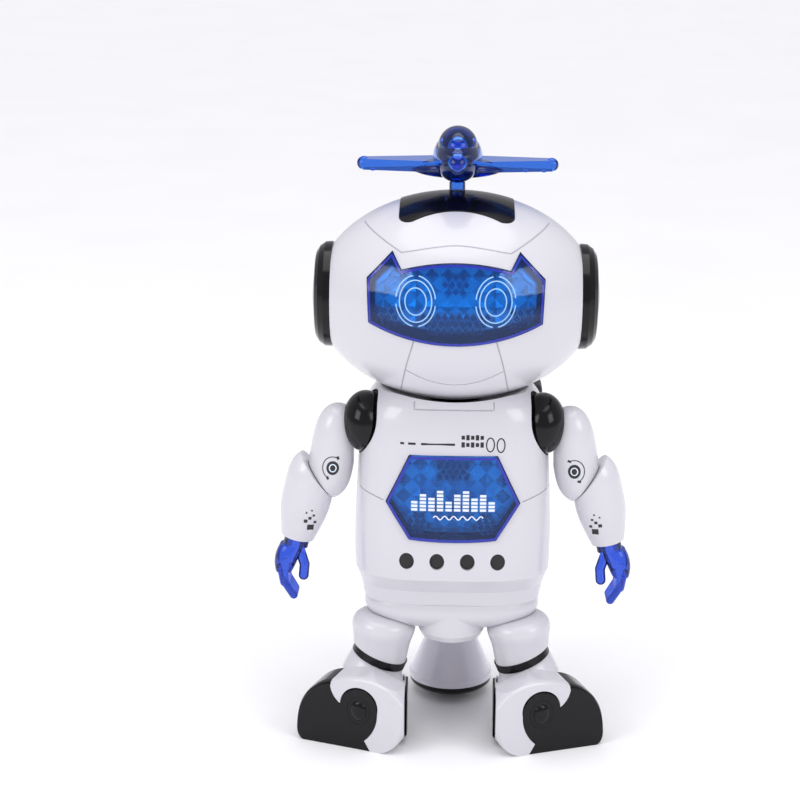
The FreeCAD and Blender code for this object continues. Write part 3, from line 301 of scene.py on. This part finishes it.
def painted_groove_shade(name, colour, strength):
    """Painted shade of a moulded groove: a dark stripe that fades out towards both of its edges."""
    material, tree, output = new_material(name)
    across = add(tree, "ShaderNodeUVMap", uv_map="across")
    split = add(tree, "ShaderNodeSeparateXYZ")
    link(tree, across.outputs["UV"], split.inputs["Vector"])
    centre = add(tree, "ShaderNodeMath", operation="SUBTRACT")
    link(tree, split.outputs["X"], centre.inputs[0])
    centre.inputs[1].default_value = 0.5
    width = add(tree, "ShaderNodeMath", operation="ABSOLUTE")
    link(tree, centre.outputs["Value"], width.inputs[0])
    fade = add(tree, "ShaderNodeMapRange", interpolation_type="SMOOTHSTEP")
    fade.inputs["From Min"].default_value = 0.1
    fade.inputs["From Max"].default_value = 0.5
    fade.inputs["To Min"].default_value = strength
    fade.inputs["To Max"].default_value = 0.0
    link(tree, width.outputs["Value"], fade.inputs["Value"])
    clear = add(tree, "ShaderNodeBsdfTransparent")
    dark = add(tree, "ShaderNodeBsdfPrincipled", in_Roughness=0.5)
    low = tuple(0.8 * c for c in colour)
    link(tree, ramp(tree, noise(tree, 80.0), low, colour), dark.inputs["Base Color"])
    mix = add(tree, "ShaderNodeMixShader")
    link(tree, fade.outputs["Result"], mix.inputs["Fac"])
    link(tree, clear.outputs["BSDF"], mix.inputs[1])
    link(tree, dark.outputs["BSDF"], mix.inputs[2])
    link(tree, mix.outputs["Shader"], output.inputs["Surface"])
    return material


WHITE = plastic("white plastic", (0.65, 0.64, 0.685), (0.66, 0.65, 0.695), 0.24, 0.27, coat=0.25)
PEARL = plastic("pearl plastic", (0.74, 0.72, 0.80), (0.80, 0.78, 0.86), 0.20, 0.28, coat=0.4)
BLACK = plastic("black plastic", (0.003, 0.003, 0.004), (0.005, 0.005, 0.006), 0.12, 0.18, shine=0.28)
BLACK_SATIN = plastic("black satin", (0.006, 0.006, 0.007), (0.010, 0.010, 0.011), 0.35, 0.5)
BLUE = clear_plastic("clear blue", (0.22, 0.36, 0.87), (0.18, 0.32, 0.85), (0.02, 0.04, 0.42), 0.05)
PLANE_BLUE = clear_plastic("plane blue", (0.20, 0.46, 0.92), (0.16, 0.42, 0.90), (0.01, 0.07, 0.45), 0.05)
LENS_BLUE = clear_plastic("lens blue", (0.25, 0.74, 0.995), (0.23, 0.72, 0.99), (0.004, 0.10, 0.50), 0.03)
# painted reflection: each facet's own brightness is set in the colour
MIRROR = facet_mirror_painted_glints("faceted silver", (0.72, 0.80, 0.92), (0.86, 0.94, 1.0), 0.0028)
# painted reflection: dark facets of the silvered reflectors, laid on as flat dark pieces
PAINTED_DARK_REFLECTION = plastic("painted dark facet reflection", (0.03, 0.05, 0.12), (0.05, 0.07, 0.16), 0.25, 0.35)
PAINTED_HALF_DARK_REFLECTION = plastic("painted half-dark facet reflection", (0.14, 0.20, 0.34), (0.20, 0.26, 0.42), 0.25, 0.35)
RIM_BLUE = plastic("lens edge", (0.015, 0.025, 0.34), (0.02, 0.035, 0.42), 0.10, 0.18)
LED = plastic("led", (0.8, 0.85, 0.95), (0.9, 0.95, 1.0), 0.1, 0.2)
BOARD = plastic("circuit board", (0.02, 0.15, 0.06), (0.03, 0.22, 0.09), 0.35, 0.5)
STEEL = plastic("steel", (0.5, 0.5, 0.52), (0.62, 0.62, 0.64), 0.25, 0.4, metal=1.0)
NYLON = plastic("nylon", (0.66, 0.63, 0.55), (0.76, 0.74, 0.66), 0.4, 0.55)
GREY = plastic("grey plastic", (0.16, 0.16, 0.17), (0.22, 0.22, 0.24), 0.4, 0.55)
CELL = plastic("cell sleeve", (0.02, 0.10, 0.05), (0.04, 0.14, 0.08), 0.25, 0.35)
SPRING = plastic("nickel", (0.6, 0.58, 0.54), (0.7, 0.69, 0.66), 0.2, 0.35, metal=1.0)
RUBBER = plastic("rubber", (0.02, 0.02, 0.02), (0.035, 0.035, 0.035), 0.6, 0.8, bump=0.3)
INK_BLACK = plastic("black ink", (0.01, 0.01, 0.014), (0.02, 0.02, 0.025), 0.35, 0.45)
INK_WHITE = plastic("white ink", (0.72, 0.82, 0.94), (0.80, 0.88, 0.98), 0.35, 0.45)
INK_PALE = plastic("pale blue ink", (0.30, 0.56, 0.86), (0.38, 0.62, 0.90), 0.3, 0.4)
# painted shade: the dark inside of the moulded grooves, laid on as colour
GROOVE_SHADE = painted_groove_shade("painted groove shade", (0.42, 0.41, 0.47), 0.45)

SLOT_MATERIAL = {
    "white_plastic": WHITE, "pearl_plastic": PEARL, "black_plastic": BLACK, "clear_blue": BLUE,
    "silvered_blue": MIRROR, "led_clear": LED, "board_green": BOARD, "steel": STEEL, "nylon": NYLON,
    "grey_plastic": GREY, "cell_wrap": CELL, "spring_steel": SPRING, "rubber": RUBBER,
}
OWN_MATERIAL = {
    "visor_lens": LENS_BLUE, "chest_lens": LENS_BLUE, "battery_tray": BLACK_SATIN, "backpack": BLACK_SATIN,
    "battery_door": BLACK_SATIN, "chest_ports": BLACK_SATIN,
    "plane_body": PLANE_BLUE, "plane_belly": PLANE_BLUE, "plane_post": PLANE_BLUE,
}


def dress_cad_nodes():
    """Gives every CAD node its material, smooth faces and crisp edges."""
    for part in frame["record"]["subparts"]:
        name = part["node"]
        node = NODES[name]
        material = OWN_MATERIAL.get(name, SLOT_MATERIAL[part["material_slot"]])
        node.data.materials.clear()
        node.data.materials.append(material)
        for polygon in node.data.polygons:
            polygon.use_smooth = True
        split = node.modifiers.new("split", "EDGE_SPLIT")
        split.split_angle = math.radians(SMOOTH_ANGLE_DEG)


# ---------------------------------------------------------------------------
# Mesh helpers
# ---------------------------------------------------------------------------

def make_object(name, vertices, faces, material, body):
    """A smooth mesh piece that rides on a body and takes a material slot."""
    mesh = bpy.data.meshes.new(name)
    mesh.from_pydata([tuple(v) for v in vertices], [], faces)
    mesh.materials.append(material)
    for polygon in mesh.polygons:
        polygon.use_smooth = True
    mesh.update()
    piece = bpy.data.objects.new(name, mesh)
    bpy.context.scene.collection.objects.link(piece)
    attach(piece, body)
    return piece


def surface_of(*nodes):
    """Ray target made of the named CAD nodes."""
    vertices = []
    faces = []
    for name in nodes:
        mesh = NODES[name].data
        start = len(vertices)
        vertices.extend(v.co.copy() for v in mesh.vertices)
        faces.extend([start + i for i in p.vertices] for p in mesh.polygons)
    return BVHTree.FromPolygons(vertices, faces)


def front_hit(tree, x, z, lift):
    """Point and normal where a line going backwards meets the surface, in metres."""
    start = Vector((x * MM, -0.2, z * MM))
    place, normal, _, _ = tree.ray_cast(start, Vector((0, 1, 0)))
    if place is None:
        raise ValueError("nothing at %.1f %.1f" % (x, z))
    if normal.y > 0:
        normal = -normal
    return place + normal * lift * MM, normal


def ribbon(name, tree, points, width, material, body, lift=PRINT_LIFT, closed=False, step=1.0):
    """A flat stripe laid on a surface along a line of (x, z) points."""
    path = []
    loop = points + [points[0]] if closed else points
    for (x0, z0), (x1, z1) in zip(loop[:-1], loop[1:]):
        count = max(1, int(math.hypot(x1 - x0, z1 - z0) / step))
        for i in range(count):
            path.append((x0 + (x1 - x0) * i / count, z0 + (z1 - z0) * i / count))
    if not closed:
        path.append(loop[-1])
    hits = [front_hit(tree, x, z, lift) for x, z in path]
    total = len(hits)
    vertices = []
    for i, (place, normal) in enumerate(hits):
        before = hits[(i - 1) % total][0] if closed or i > 0 else place
        after = hits[(i + 1) % total][0] if closed or i < total - 1 else place
        side = (after - before).normalized().cross(normal).normalized()
        vertices.append(place - side * width * MM / 2.0)
        vertices.append(place + side * width * MM / 2.0)
    faces = []
    last = total if closed else total - 1
    for i in range(last):
        j = (i + 1) % total
        faces.append((2 * i, 2 * j, 2 * j + 1, 2 * i + 1))
    piece = make_object(name, vertices, faces, material, body)
    layer = piece.data.uv_layers.new(name="across")
    for polygon in piece.data.polygons:
        for corner in polygon.loop_indices:
            index = piece.data.loops[corner].vertex_index
            layer.data[corner].uv = (float(index % 2), 0.5)
    return piece


def patch(name, tree, corners, material, body, lift=PRINT_LIFT, rings=3):
    """A filled print laid on a surface: rings of the outline drawn in to its middle."""
    count = len(corners)
    cx = sum(p[0] for p in corners) / count
    cz = sum(p[1] for p in corners) / count
    vertices = []
    for ring in range(rings, 0, -1):
        share = ring / rings
        for x, z in corners:
            vertices.append(front_hit(tree, cx + (x - cx) * share, cz + (z - cz) * share, lift)[0])
    vertices.append(front_hit(tree, cx, cz, lift)[0])
    faces = []
    for ring in range(rings - 1):
        for i in range(count):
            j = (i + 1) % count
            outer = ring * count
            inner = outer + count
            faces.append((outer + i, outer + j, inner + j, inner + i))
    base = (rings - 1) * count
    for i in range(count):
        faces.append((base + i, base + (i + 1) % count, rings * count))
    return make_object(name, vertices, faces, material, body)


def oval(cx, cz, rx, rz, start=0.0, end=360.0, step=10.0):
    """Points along an oval or an arc of it; the angles are in degrees."""
    count = max(3, int(round((end - start) / step)))
    closed = end - start >= 360.0
    points = []
    for i in range(count if closed else count + 1):
        angle = math.radians(start + (end - start) * i / count)
        points.append((cx + rx * math.cos(angle), cz + rz * math.sin(angle)))
    return points


def block(cx, cz, width, height, turn=0.0):
    """Corners of a rectangle, turned by some degrees."""
    c = math.cos(math.radians(turn))
    s = math.sin(math.radians(turn))
    corners = ((-0.5, -0.5), (0.5, -0.5), (0.5, 0.5), (-0.5, 0.5))
    return [(cx + c * u * width - s * v * height, cz + s * u * width + c * v * height) for u, v in corners]


def curve_points(points, count=10):
    """Smooth line through a few (x, z) points (Catmull-Rom)."""
    ends = [points[0]] + points + [points[-1]]
    result = []
    for i in range(1, len(ends) - 2):
        p0, p1, p2, p3 = ends[i - 1], ends[i], ends[i + 1], ends[i + 2]
        for k in range(count):
            t = k / count
            result.append(tuple(
                0.5 * (2 * p1[a] + (p2[a] - p0[a]) * t + (2 * p0[a] - 5 * p1[a] + 4 * p2[a] - p3[a]) * t * t
                       + (3 * p1[a] - p0[a] - 3 * p2[a] + p3[a]) * t ** 3) for a in (0, 1)))
    result.append(points[-1])
    return result


def outline(pieces, count=12):
    """Points along a closed outline; a piece of two points is a line, of three a curve."""
    points = []
    for piece in pieces:
        if len(piece) == 2:
            points.append(piece[0])
            continue
        (x0, z0), (x1, z1), (x2, z2) = piece
        for i in range(count):
            t = i / count
            near = 2.0 * (t - 0.5) * (t - 1.0)
            middle = -4.0 * t * (t - 1.0)
            far = 2.0 * t * (t - 0.5)
            points.append((near * x0 + middle * x1 + far * x2, near * z0 + middle * z1 + far * z2))
    return points


def drawn_in(points, amount):
    """The outline moved inwards by about the given distance."""
    result = []
    count = len(points)
    for i, (x, z) in enumerate(points):
        before = Vector(points[i - 1])
        here = Vector((x, z))
        after = Vector(points[(i + 1) % count])
        a = (here - before).normalized()
        b = (after - here).normalized()
        bisector = Vector((-(a.y + b.y), a.x + b.x)).normalized()
        reach = amount / max(0.5, bisector.dot(Vector((-a.y, a.x))))
        result.append((x - bisector.x * reach, z - bisector.y * reach))
    return result


def painted_facet_reflections(name, y, size, rows, body):
    """Diamonds of painted dark reflection on a faceted reflector.  Each row is (height, first x, number,
    shade), where shade 1 gives the darker painted reflection.
    """
    for index, (z, first, number, shade) in enumerate(rows):
        material = PAINTED_DARK_REFLECTION if shade else PAINTED_HALF_DARK_REFLECTION
        for k in range(number):
            x = first + k * size
            half = 0.46 * size
            tall = half * (1.25 if shade else 1.0)
            vertices = [Vector((px * MM, y * MM, pz * MM)) for px, pz in
                        ((x - half, z), (x, z - tall), (x + half, z), (x, z + tall))]
            make_object("%s_%d_%d" % (name, index, k), vertices, [(0, 1, 2, 3)], material, body)


# ---------------------------------------------------------------------------
# Head grooves in painted shade and eye rings
# ---------------------------------------------------------------------------

def mirrored(side, points):
    """The same points for the robot's left (1) or right (-1)."""
    return [(side * x, z) for x, z in points]


def head_details():
    skin = surface_of("head_front_shell")
    ribbon("head_line_brow", skin, curve_points(BROW_ARC), GROOVE_WIDTH, GROOVE_SHADE, "head")
    for side, name in SIDES:
        for label, line in (("brow", BROW_SIDE), ("chin", curve_points(CHIN_SIDE))):
            ribbon("head_line_%s_%s" % (label, name), skin, mirrored(side, line), GROOVE_WIDTH, GROOVE_SHADE,
                   "head")
    ribbon("head_line_cross", skin, curve_points(CHIN_CROSS), GROOVE_WIDTH, GROOVE_SHADE, "head")

    lens = surface_of("visor_lens")
    ribbon("visor_edge", lens, drawn_in(outline(VISOR), 0.75), 0.9, RIM_BLUE, "head",
           closed=True)
    # painted dark reflections on the visor's reflector
    painted_facet_reflections("visor_facet", VISOR_FACET_Y, VISOR_FACET_SIZE, VISOR_FACETS, "head")
    for side, name in SIDES:
        for index, (rx, rz, spans) in enumerate(EYE_RINGS):
            for k, (start, end) in enumerate(spans):
                points = oval(side * EYE_X, EYE_Z, rx, rz, start, end, 8.0)
                ribbon("eye_ring_%s_%d_%d" % (name, index, k), lens, points, EYE_LINE, INK_PALE, "head",
                       closed=(end - start >= 360))


# ---------------------------------------------------------------------------
# Torso grooves in painted shade and prints
# ---------------------------------------------------------------------------

def torso_banner(shell):
    """The printed row above the chest window: bars, ticks and two rings."""
    for k, (middle, width) in enumerate(BANNER_BARS):
        bar = block(middle, BANNER_Z, width, BANNER_BAR_HEIGHT)
        patch("print_bar_%d" % k, shell, bar, INK_BLACK, "torso")
    for row in range(2):
        for column in range(5):
            x = TICK_START[0] + TICK_PITCH[0] * column
            z = TICK_START[1] - TICK_PITCH[1] * row
            tick = block(x, z, TICK_WIDTH, TICK_HEIGHTS[(row + column) % 2])
            patch("print_tick_%d_%d" % (row, column), shell, tick, INK_BLACK, "torso")
    for k, (x, z) in enumerate(BANNER_RINGS):
        ribbon("print_ring_%d" % k, shell, oval(x, z, *BANNER_RING_SIZE), 0.45, INK_BLACK, "torso",
               closed=True)


def chest_print(lens):
    """The columns of blocks and the wave printed on the chest window."""
    for column, tall in enumerate(CHEST_BARS):
        x = CHEST_BAR_START[0] + CHEST_BAR_PITCH[0] * column
        for level in range(tall):
            bar = block(x, CHEST_BAR_START[1] + CHEST_BAR_PITCH[1] * level, *CHEST_BAR_SIZE)
            patch("chest_bar_%d_%d" % (column, level), lens, bar, INK_WHITE, "torso", rings=1)
    wave = []
    for i in range(WAVE_POINTS):
        wave.append((WAVE_START[0] + WAVE_STEP * i, WAVE_START[1] + WAVE_HEIGHT * math.sin(i * WAVE_TURN)))
    ribbon("chest_wave", lens, wave, 0.45, INK_WHITE, "torso", step=0.4)


def torso_details():
    shell = surface_of("torso_front_shell", "torso_rear_shell")
    for side, name in SIDES:
        ribbon("torso_line_" + name, shell, mirrored(side, TORSO_SIDE_LINE), GROOVE_WIDTH, GROOVE_SHADE, "torso")
    torso_banner(shell)
    ribbon("torso_line_chin", shell, TORSO_CHIN_LINE, 0.8, GROOVE_SHADE, "torso")

    lens = surface_of("chest_lens")
    ribbon("chest_edge", lens, drawn_in(outline(CHEST), 0.8), 1.0, RIM_BLUE, "torso",
           closed=True)
    # painted dark reflections on the chest reflector
    painted_facet_reflections("chest_facet", CHEST_FACET_Y, CHEST_FACET_SIZE, CHEST_FACETS, "torso")
    chest_print(lens)


# ---------------------------------------------------------------------------
# Arm prints: a dial on each upper arm, falling squares on each forearm
# ---------------------------------------------------------------------------

def arm_dial(side, name):
    skin = surface_of("upper_arm_" + name)
    body = "arm_" + name
    cx = side * DIAL_X
    patch("dial_" + name, skin, oval(cx, DIAL_Z, *DIAL_DISC), INK_BLACK, body)
    ribbon("dial_mark_" + name, skin, oval(cx, DIAL_Z, *DIAL_MARK), 0.4, INK_WHITE, body,
           lift=0.1, closed=True, step=0.5)
    start = -side * DIAL_START_DEG
    half_ring = oval(cx, DIAL_Z, *DIAL_RING, start, start + 180.0)
    ribbon("dial_ring_" + name, skin, half_ring, 0.35, INK_BLACK, body, step=0.5)
    for angle in (start, start + 180.0):
        x = cx + DIAL_END_REACH[0] * math.cos(math.radians(angle))
        z = DIAL_Z + DIAL_END_REACH[1] * math.sin(math.radians(angle))
        end = block(x, z, *DIAL_END_SIZE, angle + 45.0)
        patch("dial_end_%s_%d" % (name, angle), skin, end, INK_BLACK, body, rings=1)


def arm_squares(side, name):
    skin = surface_of("forearm_" + name)
    for index, (across, up, size) in enumerate(SQUARES):
        square = block(side * (SQUARES_X - across), SQUARES_Z + up, size, size, side * SQUARES_TURN_DEG)
        patch("pixel_%s_%d" % (name, index), skin, square, INK_BLACK, "lower_arm_" + name,
              lift=0.12, rings=2)


def arm_details():
    for side, name in SIDES:
        arm_dial(side, name)
        arm_squares(side, name)


# ---------------------------------------------------------------------------
# Stage, light and camera
# ---------------------------------------------------------------------------

def area_light(name, place, power):
    """A square soft box aimed at the middle of the robot."""
    data = bpy.data.lights.new(name, "AREA")
    data.energy = power
    data.size = BOX_SIZE
    lamp = bpy.data.objects.new(name, data)
    lamp.location = place
    aim = Vector(BOX_TARGET) - Vector(place)
    lamp.rotation_euler = aim.to_track_quat("-Z", "Y").to_euler()
    bpy.context.scene.collection.objects.link(lamp)


def build_stage():
    mesh = bpy.data.meshes.new("floor")
    half = FLOOR_HALF
    corners = [(-half, -half, 0), (half, -half, 0), (half, half, 0), (-half, half, 0)]
    mesh.from_pydata(corners, [], [(0, 1, 2, 3)])
    mesh.materials.append(plastic("floor", (0.90, 0.90, 0.91), (0.93, 0.93, 0.94), 0.6, 0.75, scale=2.0))
    floor = bpy.data.objects.new("floor", mesh)
    bpy.context.scene.collection.objects.link(floor)

    world = bpy.data.worlds.new("studio")
    bpy.context.scene.world = world
    world.use_nodes = True
    back = world.node_tree.nodes["Background"]
    back.inputs["Color"].default_value = WORLD_COLOUR
    back.inputs["Strength"].default_value = WORLD_STRENGTH

    sun = bpy.data.lights.new("overhead", "SUN")
    sun.energy = SUN_STRENGTH
    sun.angle = math.radians(SUN_ANGLE_DEG)
    lamp = bpy.data.objects.new("overhead", sun)
    bpy.context.scene.collection.objects.link(lamp)
    across, front, height = BOX_PLACE
    area_light("left box", (-across, front, height), LEFT_BOX_POWER)
    area_light("right box", (across, front, height), RIGHT_BOX_POWER)


def build_camera():
    data = bpy.data.cameras.new("camera")
    data.lens = CAMERA_LENS
    data.sensor_width = 36.0
    camera = bpy.data.objects.new("camera", data)
    yaw = math.radians(CAMERA_YAW_DEG)
    pitch = math.radians(CAMERA_PITCH_DEG)
    roll = math.radians(CAMERA_ROLL_DEG)
    forward = Vector((-math.sin(yaw) * math.cos(pitch), math.cos(yaw) * math.cos(pitch), -math.sin(pitch)))
    level = Vector((math.cos(yaw), math.sin(yaw), 0))
    upright = level.cross(forward)
    right = math.cos(roll) * level + math.sin(roll) * upright
    up = -math.sin(roll) * level + math.cos(roll) * upright
    turn = Matrix((right, up, -forward)).transposed()
    camera.matrix_world = Matrix.Translation((0, -CAMERA_BACK, CAMERA_HEIGHT)) @ turn.to_4x4()
    bpy.context.scene.collection.objects.link(camera)
    bpy.context.scene.camera = camera


dress_cad_nodes()
head_details()
torso_details()
arm_details()
build_stage()
build_camera()
bpy.context.scene.view_settings.view_transform = "Standard"
